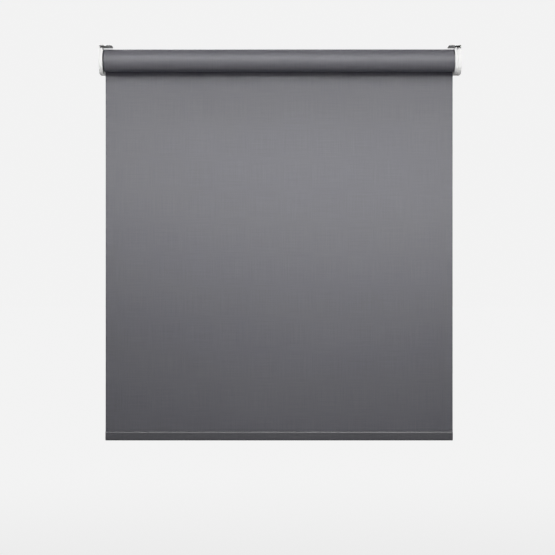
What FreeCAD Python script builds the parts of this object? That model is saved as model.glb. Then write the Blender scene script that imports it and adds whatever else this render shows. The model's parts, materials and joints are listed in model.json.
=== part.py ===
import FreeCAD, Part
import math
import os

# Roller blind with a battery motor inside its tube, standard roll, hem part way down.
# Millimetres. +X to the right seen from the room, +Y towards the window, +Z up.
# The origin is the centre of the four top-fixing holes, on the brackets' top faces.

V = FreeCAD.Vector

# ---- driving dimensions -------------------------------------------------------------
OVERALL_WIDTH = 800.0        # outside of one bracket to the outside of the other
HALF = OVERALL_WIDTH / 2
AXIS_Z = -33.0               # tube axis below the brackets' top faces

TUBE_R = 23.5                # roller tube
TUBE_WALL = 1.5
TUBE_LEFT = -HALF + 10.4
TUBE_RIGHT = HALF - 15.0
KEY_HEIGHT = 2.2             # the two keys inside the tube, which drive it
KEY_WIDTH = 3.0

FABRIC_T = 0.5               # coated blackout cloth
WRAPS = 3.1                  # turns left on the tube
FABRIC_INSET = 0.2           # cloth edge inside the tube's end
ROLL_R = TUBE_R + WRAPS * FABRIC_T
SHEET_Y = ROLL_R - FABRIC_T / 2
SHEET_START = 7.0            # first point below the axis where the flat sheet is clear of the roll
HEM_DROP = 844.0             # tube axis to the underside of the hem
HEM_HEIGHT = 21.4
HEM_R = 4.2                  # outside of the hem's rounded top and bottom

STEEL = 2.0                  # bracket sheet
BRACKET_BACK = 33.0
BRACKET_FRONT = -24.0
BRACKET_DROP = 63.0
FLANGE_REACH = 28.0
CORNER_R = 4.0               # rounded corners of both flanges
BEND_R = 1.6                 # outside of the bends
BEND_RELIEF = 3.0            # gap between the two flanges at the corner
FIXING_R = 2.5               # holes for 4.5 mm screws
FIXING_INSET = 16.0          # hole line to the bracket's outer face
TOP_FIXING_Y = 14.0
REAR_FIXING_Z = 15.0         # either side of the tube axis
SIDE_FIXING_Y = 20.0

COVER_R = 30.5               # round bracket covers
COVER_DEPTH = 6.4
COVER_WALL = 1.6
PEG_OFFSET = 23.0
PEG_R = 1.9

HEAD_R = 30.0                # round head of the motor
HEAD_DEPTH = 5.6
HEAD_RIM = 1.4
HEAD_FACE = 1.2
HEAD_COVER_T = 1.0
STUB = 12.0                  # square stub that the motor hangs by
HOUSING_R = 17.5             # motor casing inside the tube
HOUSING_WALL = 0.8
HOUSING_END = -52.0
SPIGOT_END = 360.0
SHAFT_R = 6.0
RUNNING = 0.08               # radial clearance of shafts and pins that turn

PIN_R = 4.0                  # sprung pin at the idle end
PIN_TRAVEL = 6.5
PORT_DEG = 12.0              # round the motor head from straight down, + towards the window
LIGHT_DEG = -8.0
BUTTON_DEG = -26.0

# ---- derived ------------------------------------------------------------------------
FABRIC_LEFT = TUBE_LEFT + FABRIC_INSET
FABRIC_RIGHT = TUBE_RIGHT - FABRIC_INSET
TUBE_BORE = TUBE_R - TUBE_WALL
PLUG_R = TUBE_BORE - 0.1
KEY_R = TUBE_BORE - KEY_HEIGHT
PLATE_X = HALF - STEEL                 # inner face of either side plate
COVER_X = PLATE_X - COVER_DEPTH        # face of either cover next to the roll
HEAD_X = COVER_X - 0.2                 # motor head, outer face
HEAD_IN = HEAD_X - HEAD_DEPTH          # motor head, face next to the roll
HEAD_MID = HEAD_IN + HEAD_COVER_T + 1.7
HOUSING_BORE = HOUSING_R - HOUSING_WALL
HEM_BOTTOM = AXIS_Z - HEM_DROP
HEM_TOP = HEM_BOTTOM + HEM_HEIGHT
HEM_MID = (HEM_TOP + HEM_BOTTOM) / 2
HEM_STRAIGHT = HEM_HEIGHT - 2 * HEM_R
BAR_R = HEM_R - FABRIC_T - 0.05
BAR_WALL = 1.1
CAP_T = 1.5
TONGUE = 12.0                # length of the hem caps' tongues


# ---- helpers ------------------------------------------------------------------------
def disc(x0, x1, r, y=0.0, z=AXIS_Z):
    """A cylinder along X, on the tube axis unless a place is given."""
    return Part.makeCylinder(r, x1 - x0, V(x0, y, z), V(1, 0, 0))


def ring(x0, x1, r_out, r_in, y=0.0, z=AXIS_Z):
    return disc(x0, x1, r_out, y, z).cut(disc(x0 - 1, x1 + 1, r_in, y, z))


def block(x0, x1, y0, y1, z0, z1):
    return Part.makeBox(x1 - x0, y1 - y0, z1 - z0, V(x0, y0, z0))


def polar(x, r, deg):
    """A point at radius r from the tube axis, deg round from straight down."""
    a = math.radians(deg)
    return V(x, r * math.sin(a), AXIS_Z - r * math.cos(a))


def sector(x0, x1, r_in, r_out, deg0, deg1):
    """A piece of a ring between two angles."""
    mid = (deg0 + deg1) / 2
    edges = [
        Part.Arc(polar(x0, r_out, deg0), polar(x0, r_out, mid), polar(x0, r_out, deg1)).toShape(),
        Part.LineSegment(polar(x0, r_out, deg1), polar(x0, r_in, deg1)).toShape(),
        Part.Arc(polar(x0, r_in, deg1), polar(x0, r_in, mid), polar(x0, r_in, deg0)).toShape(),
        Part.LineSegment(polar(x0, r_in, deg0), polar(x0, r_out, deg0)).toShape(),
    ]
    return Part.Face(Part.Wire(edges)).extrude(V(x1 - x0, 0, 0))


def stadium(x0, x1, r, straight, y, z):
    """A bar along X whose section is upright with round ends."""
    h = straight / 2
    edges = [
        Part.LineSegment(V(x0, y - r, z - h), V(x0, y - r, z + h)).toShape(),
        Part.Arc(V(x0, y - r, z + h), V(x0, y, z + h + r), V(x0, y + r, z + h)).toShape(),
        Part.LineSegment(V(x0, y + r, z + h), V(x0, y + r, z - h)).toShape(),
        Part.Arc(V(x0, y + r, z - h), V(x0, y, z - h - r), V(x0, y - r, z - h)).toShape(),
    ]
    return Part.Face(Part.Wire(edges)).extrude(V(x1 - x0, 0, 0))


def turned(shape, deg):
    """Turn a piece that was built straight down round the tube axis."""
    out = shape.copy()
    out.rotate(V(0, 0, AXIS_Z), V(1, 0, 0), deg)
    return out


def fillet(shape, r, wanted):
    """Round the edges whose middle point passes the test."""
    edges = [e for e in shape.Edges if wanted(e.CenterOfMass, e)]
    return shape.makeFillet(r, edges)


def round_rim(shape, x, radius, r):
    """Round one circular rim of a disc on the tube axis."""
    def at_rim(mid, edge):
        circle = edge.Curve
        return hasattr(circle, "Radius") and abs(circle.Radius - radius) < 0.01 and abs(mid.x - x) < 0.01
    return fillet(shape, r, at_rim)


def keyways(x0, x1):
    """Slots that the tube's two keys slide into."""
    half = KEY_WIDTH / 2 + 0.2
    slots = [
        block(x0, x1, KEY_R - 0.3, TUBE_R, AXIS_Z - half, AXIS_Z + half),
        block(x0, x1, -TUBE_R, -KEY_R + 0.3, AXIS_Z - half, AXIS_Z + half),
    ]
    return slots[0].fuse(slots[1])


def mirrored(shape):
    return shape.mirror(V(0, 0, 0), V(1, 0, 0))


# ---- brackets and their covers ------------------------------------------------------
def bracket(extra_holes):
    """Right-hand bracket: side plate, top flange and rear flange pressed from one sheet."""
    r = BRACKET_DROP + AXIS_Z
    step = math.sqrt(r * r - BRACKET_FRONT ** 2)
    elbow = r * math.cos(math.radians(45))
    points = {
        "top_front": V(PLATE_X, BRACKET_FRONT, 0),
        "top_back": V(PLATE_X, BRACKET_BACK, 0),
        "low_back": V(PLATE_X, BRACKET_BACK, -BRACKET_DROP),
        "low": V(PLATE_X, 0, -BRACKET_DROP),
        "elbow": V(PLATE_X, -elbow, AXIS_Z - elbow),
        "front": V(PLATE_X, BRACKET_FRONT, AXIS_Z + step),
    }
    edges = [
        Part.LineSegment(points["top_front"], points["top_back"]).toShape(),
        Part.LineSegment(points["top_back"], points["low_back"]).toShape(),
        Part.LineSegment(points["low_back"], points["low"]).toShape(),
        Part.Arc(points["low"], points["elbow"], points["front"]).toShape(),
        Part.LineSegment(points["front"], points["top_front"]).toShape(),
    ]
    plate = Part.Face(Part.Wire(edges)).extrude(V(STEEL, 0, 0))
    inner = HALF - FLANGE_REACH
    top = block(inner, HALF, BRACKET_FRONT, BRACKET_BACK, -STEEL, 0)
    rear = block(inner, HALF, BRACKET_BACK - STEEL, BRACKET_BACK, -BRACKET_DROP, -STEEL - BEND_RELIEF)

    def top_corner(mid, edge):
        return abs(mid.x - inner) < 0.01 and abs(mid.z + STEEL / 2) < 0.01

    def rear_corner(mid, edge):
        return abs(mid.x - inner) < 0.01 and abs(mid.y - BRACKET_BACK + STEEL / 2) < 0.01
    top = fillet(top, CORNER_R, top_corner)
    rear = fillet(rear, CORNER_R, rear_corner)
    body = plate.fuse([top, rear]).removeSplitter()

    def outer_bend(mid, edge):
        on_top = abs(mid.z) < 0.01
        on_back = abs(mid.y - BRACKET_BACK) < 0.01
        return abs(mid.x - HALF) < 0.01 and (on_top or on_back)
    body = fillet(body, BEND_R, outer_bend)

    fixing_x = HALF - FIXING_INSET
    for side in (-1, 1):
        top_hole = Part.makeCylinder(FIXING_R, 3 * STEEL, V(fixing_x, side * TOP_FIXING_Y, -2 * STEEL))
        rear_hole = Part.makeCylinder(FIXING_R, 3 * STEEL,
                                      V(fixing_x, BRACKET_BACK - 2 * STEEL, AXIS_Z + side * REAR_FIXING_Z),
                                      V(0, 1, 0))
        side_hole = disc(PLATE_X - 1, HALF + 1, FIXING_R, side * SIDE_FIXING_Y)
        peg_hole = disc(PLATE_X - 1, HALF + 1, PEG_R + 0.15, 0, AXIS_Z + side * PEG_OFFSET)
        body = body.cut([top_hole, rear_hole, side_hole, peg_hole])
    return body.cut(extra_holes)


def bracket_cover(hole_r):
    """Round moulded cap that hides a side plate, open at the back, held by two pegs."""
    cap = disc(COVER_X, PLATE_X, COVER_R)
    cap = round_rim(cap, COVER_X, COVER_R, 2.4)
    cap = round_rim(cap, PLATE_X, COVER_R, 0.5)
    cap = cap.cut(disc(COVER_X + COVER_WALL, PLATE_X + 1, COVER_R - COVER_WALL))
    cap = cap.cut(disc(COVER_X - 1, PLATE_X, hole_r))
    pegs = []
    for side in (-1, 1):
        z = AXIS_Z + side * PEG_OFFSET
        boss = disc(COVER_X + COVER_WALL / 2, PLATE_X, PEG_R + 1.3, 0, z)
        peg = disc(PLATE_X - 1, HALF - 0.3, PEG_R, 0, z)
        pegs += [boss, peg]
    return cap.fuse(pegs).removeSplitter()


# ---- idle end -----------------------------------------------------------------------
BUSH_FACE = -PLATE_X + 4.0
BUSH_R = 11.0
BUSH_BOSS_R = 6.0            # boss through the left side plate
RIVET_Y = 8.5
RIVET_R = 1.6
RIVET_HEAD_R = 2.2
RIVET_HEAD_T = 0.7


def idle_bush():
    """Acetal bearing that the sprung pin turns in, with a boss through the side plate."""
    bush = disc(-PLATE_X, BUSH_FACE, BUSH_R)
    bush = round_rim(bush, BUSH_FACE, BUSH_R, 0.8)
    bush = bush.fuse(disc(-HALF, -PLATE_X, BUSH_BOSS_R)).removeSplitter()
    bush = bush.cut(disc(-HALF + 1.0, BUSH_FACE + 1, PIN_R + RUNNING))
    return bush.cut([disc(-PLATE_X - 1, BUSH_FACE + 1, RIVET_R, side * RIVET_Y) for side in (-1, 1)])


def bush_rivets():
    rivets = []
    for side in (-1, 1):
        y = side * RIVET_Y
        shank = disc(-HALF, BUSH_FACE, RIVET_R, y)
        head = disc(BUSH_FACE, BUSH_FACE + RIVET_HEAD_T, RIVET_HEAD_R, y)
        rivets.append(shank.fuse(head).removeSplitter())
    return Part.Compound(rivets)


PLUG_FACE = TUBE_LEFT - 0.8
PLUG_END = TUBE_LEFT + 46.0
PLUG_WALL_END = PLUG_FACE + 9.4
SEAT_START = PLUG_END - 8.0
CHAMBER_R = 7.0
SHOULDER_X = PLUG_WALL_END + 0.3
SHOULDER_T = 2.0
GUIDE_R = 3.0
SPRING_R = 5.4
SPRING_WIRE = 1.0
RIM_WALL = 2.4               # rims of the plug and the drive wheel
HUB_WALL = 2.5


def idler_plug():
    """End plug pushed into the tube: flange, hub for the pin, ribs and a keyed rim."""
    flange = disc(PLUG_FACE, TUBE_LEFT, TUBE_R - 0.2)
    flange = round_rim(flange, PLUG_FACE, TUBE_R - 0.2, 0.5)
    wall = disc(TUBE_LEFT, TUBE_LEFT + 4.0, PLUG_R)
    rim = ring(TUBE_LEFT, PLUG_END, PLUG_R, PLUG_R - RIM_WALL)
    hub = disc(TUBE_LEFT, PLUG_END, CHAMBER_R + HUB_WALL)
    ribs = []
    for i in range(6):
        rib = block(TUBE_LEFT, PLUG_END, -0.9, 0.9, AXIS_Z + CHAMBER_R, AXIS_Z + PLUG_R - 1.0)
        ribs.append(turned(rib, 30 + 60 * i))
    plug = flange.fuse([wall, rim, hub] + ribs).removeSplitter()
    plug = plug.cut(keyways(TUBE_LEFT, PLUG_END + 1))
    plug = plug.cut(disc(PLUG_FACE - 1, PLUG_END, PIN_R + RUNNING))
    return plug.cut(disc(PLUG_WALL_END, PLUG_END + 1, CHAMBER_R))


def idler_pin():
    """Sprung pin: round tip, shoulder that stops it, and a tail that guides the spring."""
    tip_x = -PLATE_X + 0.8
    tip = disc(tip_x, SHOULDER_X + 0.5, PIN_R)
    tip = round_rim(tip, tip_x, PIN_R, 0.9)
    shoulder = disc(SHOULDER_X, SHOULDER_X + SHOULDER_T, CHAMBER_R - 0.4)
    tail = disc(SHOULDER_X + SHOULDER_T - 0.5, SEAT_START - 1.0, GUIDE_R)
    return tip.fuse([shoulder, tail]).removeSplitter()


def idler_spring():
    """The envelope of the compression spring's coils, between the pin's shoulder and the seat."""
    return ring(SHOULDER_X + SHOULDER_T + 0.1, SEAT_START - 0.1, SPRING_R, SPRING_R - SPRING_WIRE)


def spring_seat():
    """Cap pushed into the plug behind the spring, bored for the pin's tail."""
    seat = disc(SEAT_START, PLUG_END, CHAMBER_R - 0.05)
    lip = disc(PLUG_END, PLUG_END + 1.2, CHAMBER_R + 1.6)
    return seat.fuse(lip).removeSplitter().cut(disc(SEAT_START - 1, PLUG_END + 2, GUIDE_R + 0.4))


# ---- tube and fabric ----------------------------------------------------------------
TAPE_T = 0.25
TAPE_DEG = 36.0


def roller_tube():
    """Aluminium tube with two keys along its bore."""
    tube = ring(TUBE_LEFT, TUBE_RIGHT, TUBE_R, TUBE_BORE)
    half = KEY_WIDTH / 2
    reach = TUBE_BORE + TUBE_WALL / 2
    keys = [
        block(TUBE_LEFT, TUBE_RIGHT, KEY_R, reach, AXIS_Z - half, AXIS_Z + half),
        block(TUBE_LEFT, TUBE_RIGHT, -reach, -KEY_R, AXIS_Z - half, AXIS_Z + half),
    ]
    return tube.fuse(keys).removeSplitter()


def fabric_tape():
    """Adhesive strip that holds the cloth's top edge to the tube."""
    return sector(FABRIC_LEFT, FABRIC_RIGHT, TUBE_R, TUBE_R + TAPE_T, -TAPE_DEG / 2, TAPE_DEG / 2)


def fabric_roll():
    return ring(FABRIC_LEFT, FABRIC_RIGHT, ROLL_R, TUBE_R).cut(fabric_tape())


def fabric_hanging():
    """The flat sheet from just below its tangent point on the roll down to the hem."""
    return block(FABRIC_LEFT, FABRIC_RIGHT, SHEET_Y - FABRIC_T / 2, SHEET_Y + FABRIC_T / 2,
                 HEM_TOP, AXIS_Z - SHEET_START)


# ---- hem ----------------------------------------------------------------------------
def hem_pocket():
    """Cloth pocket welded round the bottom bar."""
    outer = stadium(FABRIC_LEFT, FABRIC_RIGHT, HEM_R, HEM_STRAIGHT, SHEET_Y, HEM_MID)
    inner = stadium(FABRIC_LEFT - 1, FABRIC_RIGHT + 1, HEM_R - FABRIC_T, HEM_STRAIGHT, SHEET_Y, HEM_MID)
    return outer.cut(inner)


def bottom_bar():
    """Hollow aluminium weight bar with a stiffening web."""
    x0 = FABRIC_LEFT + CAP_T
    x1 = FABRIC_RIGHT - CAP_T
    outer = stadium(x0, x1, BAR_R, HEM_STRAIGHT, SHEET_Y, HEM_MID)
    inner = stadium(x0 - 1, x1 + 1, BAR_R - BAR_WALL, HEM_STRAIGHT, SHEET_Y, HEM_MID)
    web = block(x0, x1, SHEET_Y - BAR_R + 0.3, SHEET_Y + BAR_R - 0.3, HEM_MID - 0.5, HEM_MID + 0.5)
    return outer.cut(inner).fuse(web).removeSplitter()


def hem_cap(x_end, inwards):
    """Plastic cap in one end of the bar: a flush face and two tongues either side of the web."""
    inner_r = BAR_R - BAR_WALL - 0.1
    face_x = sorted((x_end, x_end + inwards * CAP_T))
    tongue_x = sorted((x_end + inwards * (CAP_T - 0.3), x_end + inwards * (CAP_T + TONGUE)))
    face = stadium(face_x[0], face_x[1], BAR_R, HEM_STRAIGHT, SHEET_Y, HEM_MID)
    tongue = stadium(tongue_x[0], tongue_x[1], inner_r, HEM_STRAIGHT, SHEET_Y, HEM_MID)
    gap = block(x_end - 20, x_end + 20, SHEET_Y - HEM_R, SHEET_Y + HEM_R, HEM_MID - 0.7, HEM_MID + 0.7)
    return face.fuse(tongue.cut(gap)).removeSplitter()


# ---- motor's fixing on the right bracket --------------------------------------------
ADAPTER_R = 17.0
ADAPTER_X = PLATE_X - 4.6
SCREW_Y = 12.6
SCREW_R = 1.75
CLIP_X = PLATE_X - 2.3
CLIP_Y = 5.4
CLIP_WIRE_R = 0.6
CLIP_TOP = 9.0


def clip_room():
    """Slots in the adapter and grooves in the stub that the spring clip drops into."""
    half = CLIP_WIRE_R + 0.1
    x0 = CLIP_X - half
    x1 = CLIP_X + half
    legs = [block(x0, x1, side * CLIP_Y - half, side * CLIP_Y + half, AXIS_Z - 8.5, AXIS_Z + CLIP_TOP)
            for side in (-1, 1)]
    bend = block(x0, x1, -CLIP_Y - half, CLIP_Y + half, AXIS_Z + CLIP_TOP, AXIS_Z + ADAPTER_R + 1)
    return legs[0].fuse([legs[1], bend])


def motor_adapter():
    """Moulded disc on the right bracket with a square socket for the motor's stub."""
    adapter = disc(ADAPTER_X, PLATE_X, ADAPTER_R)
    adapter = round_rim(adapter, ADAPTER_X, ADAPTER_R, 0.8)
    half = STUB / 2 + 0.15
    socket = block(ADAPTER_X - 1, PLATE_X + 1, -half, half, AXIS_Z - half, AXIS_Z + half)
    screws = [disc(ADAPTER_X - 1, PLATE_X + 1, SCREW_R, side * SCREW_Y) for side in (-1, 1)]
    heads = [screw_head(ADAPTER_X, side * SCREW_Y) for side in (-1, 1)]
    return adapter.cut([socket, clip_room()] + screws + heads)


def screw_head(x, y):
    """Countersunk head, flush at x."""
    return Part.makeCone(2 * SCREW_R, SCREW_R, SCREW_R, V(x, y, AXIS_Z), V(1, 0, 0))


def adapter_screws():
    screws = []
    for side in (-1, 1):
        y = side * SCREW_Y
        shank = disc(ADAPTER_X + SCREW_R - 0.2, HALF, SCREW_R, y)
        slot = block(ADAPTER_X - 1, ADAPTER_X + 0.8, y - 2.4, y + 2.4, AXIS_Z - 0.4, AXIS_Z + 0.4)
        screws.append(shank.fuse(screw_head(ADAPTER_X, y)).removeSplitter().cut(slot))
    return Part.Compound(screws)


def motor_clip():
    """Spring wire bent to a U that locks the motor's stub in the adapter."""
    low = AXIS_Z - 8.0
    top = AXIS_Z + CLIP_TOP
    path = Part.Wire([
        Part.LineSegment(V(CLIP_X, -CLIP_Y, low), V(CLIP_X, -CLIP_Y, top)).toShape(),
        Part.Arc(V(CLIP_X, -CLIP_Y, top), V(CLIP_X, 0, top + CLIP_Y), V(CLIP_X, CLIP_Y, top)).toShape(),
        Part.LineSegment(V(CLIP_X, CLIP_Y, top), V(CLIP_X, CLIP_Y, low)).toShape(),
    ])
    section = Part.Wire(Part.makeCircle(CLIP_WIRE_R, V(CLIP_X, -CLIP_Y, low), V(0, 0, 1)))
    return path.makePipeShell([section], True, False)


# ---- motor head ---------------------------------------------------------------------
PORT_W = 8.94
PORT_T = 3.2
PORT_LENGTH = 7.0
PORT_WALL = 0.3
RECESS_R = HEAD_R - 1.2      # floor of the flap's recess
MOUTH_R = HEAD_R - 1.8       # mouth of the charging socket
FLAP_DEG = 12.0
FLAP_W = 3.4
FLAP_IN = 29.05
FLAP_OUT = 29.95
BUTTON_W = 2.6
BUTTON_L = 6.0
BUTTON_TRAVEL = 0.6
HEAD_SCREW_DEG = (75, 180, -75)
HEAD_SCREW_AT = 24.0
BOSS_R = 2.6
POST_DEG = (-43, 37)         # posts that the small board stands on
POST_AT = 22.0
POST_R = 1.5
BOARD_X = HEAD_MID - 0.9
BOARD_T = 0.8


def down_block(w, t, r_in, r_out):
    """A block straight below the axis, in the middle of the motor head: w round, t along X."""
    return block(HEAD_MID - t / 2, HEAD_MID + t / 2, -w / 2, w / 2, AXIS_Z - r_out, AXIS_Z - r_in)


def button_shape(w, length, r_in, r_out):
    """A block with round ends straight below the axis: w round, length along X."""
    key = down_block(length, w, r_in, r_out)
    return fillet(key, w / 2 - 0.02, lambda mid, e: abs(mid.z - AXIS_Z + (r_in + r_out) / 2) < 0.01)


def motor_head():
    """Moulded cup with the square stub, the spigot for the casing and the rim's openings."""
    cup = disc(HEAD_IN, HEAD_X, HEAD_R)
    cup = round_rim(cup, HEAD_IN, HEAD_R, 0.5)
    cup = round_rim(cup, HEAD_X, HEAD_R, 1.4)
    cup = cup.cut(disc(HEAD_IN - 1, HEAD_X - HEAD_FACE, HEAD_R - HEAD_RIM))
    spigot = ring(SPIGOT_END, HEAD_X - HEAD_FACE / 2, HOUSING_BORE - 0.1, HOUSING_BORE - 2.2)
    half = STUB / 2
    stub = block(HEAD_X - HEAD_FACE, PLATE_X - 0.4, -half, half, AXIS_Z - half, AXIS_Z + half)
    stub = fillet(stub, 1.0, lambda mid, e: abs(abs(mid.y) - half) + abs(abs(mid.z - AXIS_Z) - half) < 0.01)
    bosses = []
    pilots = []
    for deg in HEAD_SCREW_DEG:
        boss = disc(HEAD_IN + HEAD_COVER_T, HEAD_X - 0.5, BOSS_R, 0, AXIS_Z - HEAD_SCREW_AT)
        bosses.append(turned(boss, deg))
        pilots.append(turned(disc(HEAD_IN, HEAD_X - 1.0, 1.0, 0, AXIS_Z - HEAD_SCREW_AT), deg))
    for deg in POST_DEG:
        bosses.append(turned(disc(BOARD_X + BOARD_T, HEAD_X - 0.5, POST_R, 0, AXIS_Z - POST_AT), deg))
    head = cup.fuse([spigot, stub] + bosses).removeSplitter()
    recess = sector(HEAD_MID - FLAP_W / 2 - 0.3, HEAD_MID + FLAP_W / 2 + 0.3, RECESS_R, HEAD_R + 1,
                    PORT_DEG - FLAP_DEG - 0.6, PORT_DEG + FLAP_DEG + 0.6)
    port_hole = turned(down_block(PORT_W + 0.1, PORT_T + 0.1, 25, RECESS_R + 0.5), PORT_DEG)
    key_hole = turned(button_shape(BUTTON_W + 0.5, BUTTON_L + 0.5, 26, HEAD_R + 1), BUTTON_DEG)
    light_hole = turned(Part.makeCylinder(1.0, 5, V(HEAD_MID, 0, AXIS_Z - HEAD_R - 1)), LIGHT_DEG)
    housing_pilots = housing_screw_shapes(0.9, 0.9, 3.5)
    return head.cut(pilots + [recess, port_hole, key_hole, light_hole, clip_room()] + housing_pilots)


def head_cover():
    """Ring-shaped lid that closes the motor head on the roll's side."""
    lid = ring(HEAD_IN, HEAD_IN + HEAD_COVER_T, HEAD_R - HEAD_RIM - 0.1, HOUSING_BORE + 0.05)
    return lid.cut(head_screw_shapes())


def head_screw_shapes():
    screws = []
    for deg in HEAD_SCREW_DEG:
        head = Part.makeCone(1.9, 1.0, 0.9, V(HEAD_IN, 0, AXIS_Z - HEAD_SCREW_AT), V(1, 0, 0))
        shank = disc(HEAD_IN + 0.5, HEAD_X - 1.2, 0.98, 0, AXIS_Z - HEAD_SCREW_AT)
        screws.append(turned(head.fuse(shank).removeSplitter(), deg))
    return screws


def head_screws():
    slots = [turned(block(HEAD_IN - 1, HEAD_IN + 0.4, -1.2, 1.2, AXIS_Z - HEAD_SCREW_AT - 0.2,
                          AXIS_Z - HEAD_SCREW_AT + 0.2), deg) for deg in HEAD_SCREW_DEG]
    return Part.Compound([s.cut(slot) for s, slot in zip(head_screw_shapes(), slots)])


def button_board():
    """Small curved board inside the head with the switch and the light's chip."""
    board = sector(BOARD_X, BOARD_X + BOARD_T, 18.0, 26.3, -48, 42)
    board = board.cut(turned(down_block(PORT_W + 0.4, PORT_T + 2, MOUTH_R - PORT_LENGTH - 0.2, 30), PORT_DEG))
    switch = turned(down_block(3.6, 2.8, 23.5, HEAD_R - 3.6), BUTTON_DEG)
    chip = turned(down_block(1.6, 2.4, 25.0, 26.8), LIGHT_DEG)
    return board.fuse([switch, chip]).removeSplitter()


def charge_port():
    """Metal shell of the charging socket, with its tongue."""
    inner_r = MOUTH_R - PORT_LENGTH
    shell = button_shape(PORT_T, PORT_W, inner_r, MOUTH_R)
    hollow = button_shape(PORT_T - 2 * PORT_WALL, PORT_W - 2 * PORT_WALL, inner_r + 1.0, MOUTH_R + 1)
    tongue = down_block(6.6, 0.7, inner_r + 0.5, MOUTH_R - 1.6)
    return turned(shell.cut(hollow).fuse(tongue).removeSplitter(), PORT_DEG)


def charge_port_cover():
    """Rubber flap that lies flush in the head's rim, with a pad in the socket's mouth."""
    x0 = HEAD_MID - FLAP_W / 2
    x1 = HEAD_MID + FLAP_W / 2
    flap = sector(x0, x1, FLAP_IN, FLAP_OUT, PORT_DEG - FLAP_DEG, PORT_DEG + FLAP_DEG)
    pad = turned(down_block(7.2, 1.8, MOUTH_R - 0.7, FLAP_IN + 0.3), PORT_DEG)
    return flap.fuse(pad).removeSplitter()


def program_button():
    """Key in the head's rim, proud of it by half a millimetre, with a flange that keeps it in."""
    key = button_shape(BUTTON_W, BUTTON_L, 27.4, HEAD_R + 0.5)
    flange = down_block(BUTTON_L + 2.0, BUTTON_W, 27.3, 28.1)
    return turned(key.fuse(flange).removeSplitter(), BUTTON_DEG)


def status_light():
    """Clear light guide in the head's rim."""
    return turned(Part.makeCylinder(0.9, 3.15, V(HEAD_MID, 0, AXIS_Z - HEAD_R - 0.05)), LIGHT_DEG)


# ---- motor casing and what is in it --------------------------------------------------
def housing_screw_shapes(r, head_r, depth):
    """Two radial screws through the casing into the head's spigot."""
    out = []
    for deg in (0, 180):
        shank = Part.makeCylinder(r, depth, V(SPIGOT_END + 3.0, 0, AXIS_Z - HOUSING_R))
        head = Part.makeCone(head_r, r, head_r - r + 0.01, V(SPIGOT_END + 3.0, 0, AXIS_Z - HOUSING_R)) \
            if head_r > r else shank
        out.append(turned(shank.fuse(head), deg))
    return out


def motor_housing():
    tube = ring(HOUSING_END, HEAD_IN - 0.2, HOUSING_R, HOUSING_BORE)
    return tube.cut(housing_screw_shapes(0.9, 1.6, 3.5))


def housing_screws():
    return Part.Compound(housing_screw_shapes(0.88, 1.58, 2.8))


def circuit_board():
    """Main board with its radio can, driver chips and capacitors."""
    x0 = 300.0
    board = block(x0, x0 + 55, -12.5, 12.5, AXIS_Z - 0.8, AXIS_Z + 0.8)
    can = block(x0 + 34, x0 + 50, -8, 8, AXIS_Z + 0.6, AXIS_Z + 3.4)
    chips = [block(x0 + 4 + 9 * i, x0 + 9 + 9 * i, -6, 1, AXIS_Z + 0.6, AXIS_Z + 2.2) for i in range(3)]
    caps = [Part.makeCylinder(3.2, 9.0, V(x0 + 7 + 9 * i, 7.2, AXIS_Z - 9.4)) for i in range(3)]
    return board.fuse([can] + chips + caps).removeSplitter()


CELL_R = 9.2
CELL_LENGTH = 65.0
CELL_PITCH = 66.5
CELL_START = 96.0
SPACER_HALF = 5.0
SPACER_SHIFT = (5.5, -0.75, -0.75, -6.7)  # middle of each spacer from the start of its cell's pitch


def battery_cells():
    cells = []
    for i in range(3):
        x = CELL_START + CELL_PITCH * i
        can = disc(x, x + CELL_LENGTH - 1.2, CELL_R)
        can = round_rim(can, x + CELL_LENGTH - 1.2, CELL_R, 0.8)
        cells.append(can.fuse(disc(x + CELL_LENGTH - 1.3, x + CELL_LENGTH, 3.0)).removeSplitter())
    return Part.Compound(cells)


def battery_spacers():
    """Four rings that centre the cells in the casing."""
    rings = []
    for i, shift in enumerate(SPACER_SHIFT):
        mid = CELL_START + CELL_PITCH * i + shift
        x0 = mid - SPACER_HALF
        x1 = mid + SPACER_HALF
        spacer = ring(x0, x1, HOUSING_BORE - 0.1, CELL_R + 0.05)
        spacer = spacer.cut(block(x0 - 1, x1 + 1, -2.5, 2.5, AXIS_Z + CELL_R - 1, AXIS_Z + HOUSING_R))
        rings.append(spacer)
    return Part.Compound(rings)


MOTOR_R = 14.0
MOTOR_START = 28.0
MOTOR_END = 84.0
DAMPER = 7.0                 # length of each rubber ring
NOSE_R = 10.0                # nose of the gearbox round the output shaft


def dc_motor():
    can = disc(MOTOR_START, MOTOR_END, MOTOR_R)
    can = round_rim(can, MOTOR_END, MOTOR_R, 1.5)
    flat_r = MOTOR_R - 0.8
    waists = []
    for side in (-1, 1):
        y = side * flat_r
        waist = block(MOTOR_START + 14, MOTOR_END - 14, y - 1.5, y + 1.5, AXIS_Z - MOTOR_R, AXIS_Z + MOTOR_R)
        waists.append(waist.cut(disc(MOTOR_START, MOTOR_END, flat_r)))
    boss = disc(MOTOR_END - 1, MOTOR_END + 3, 5.0)
    shaft = disc(MOTOR_START - 2.0, MOTOR_START + 1, 1.6)
    return can.cut(waists).fuse([boss, shaft]).removeSplitter()


def motor_dampers():
    """Two rubber rings that hold the motor quietly in the casing."""
    return Part.Compound([ring(x, x + DAMPER, HOUSING_BORE - 0.05, MOTOR_R + 0.02)
                          for x in (MOTOR_START + 3, MOTOR_END - 4 - DAMPER)])


def motor_brake():
    """Spring brake between motor and gearbox, which holds the hem where it stops."""
    body = disc(6.0, 23.0, HOUSING_BORE - 0.5)
    collar = disc(22.0, MOTOR_START - 1.0, 6.0)
    grooves = [ring(x, x + 1.2, HOUSING_R, HOUSING_BORE - 1.4) for x in (10.0, 14.0, 18.0)]
    return body.fuse(collar).removeSplitter().cut(grooves + [disc(20.0, MOTOR_START, 1.65)])


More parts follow.
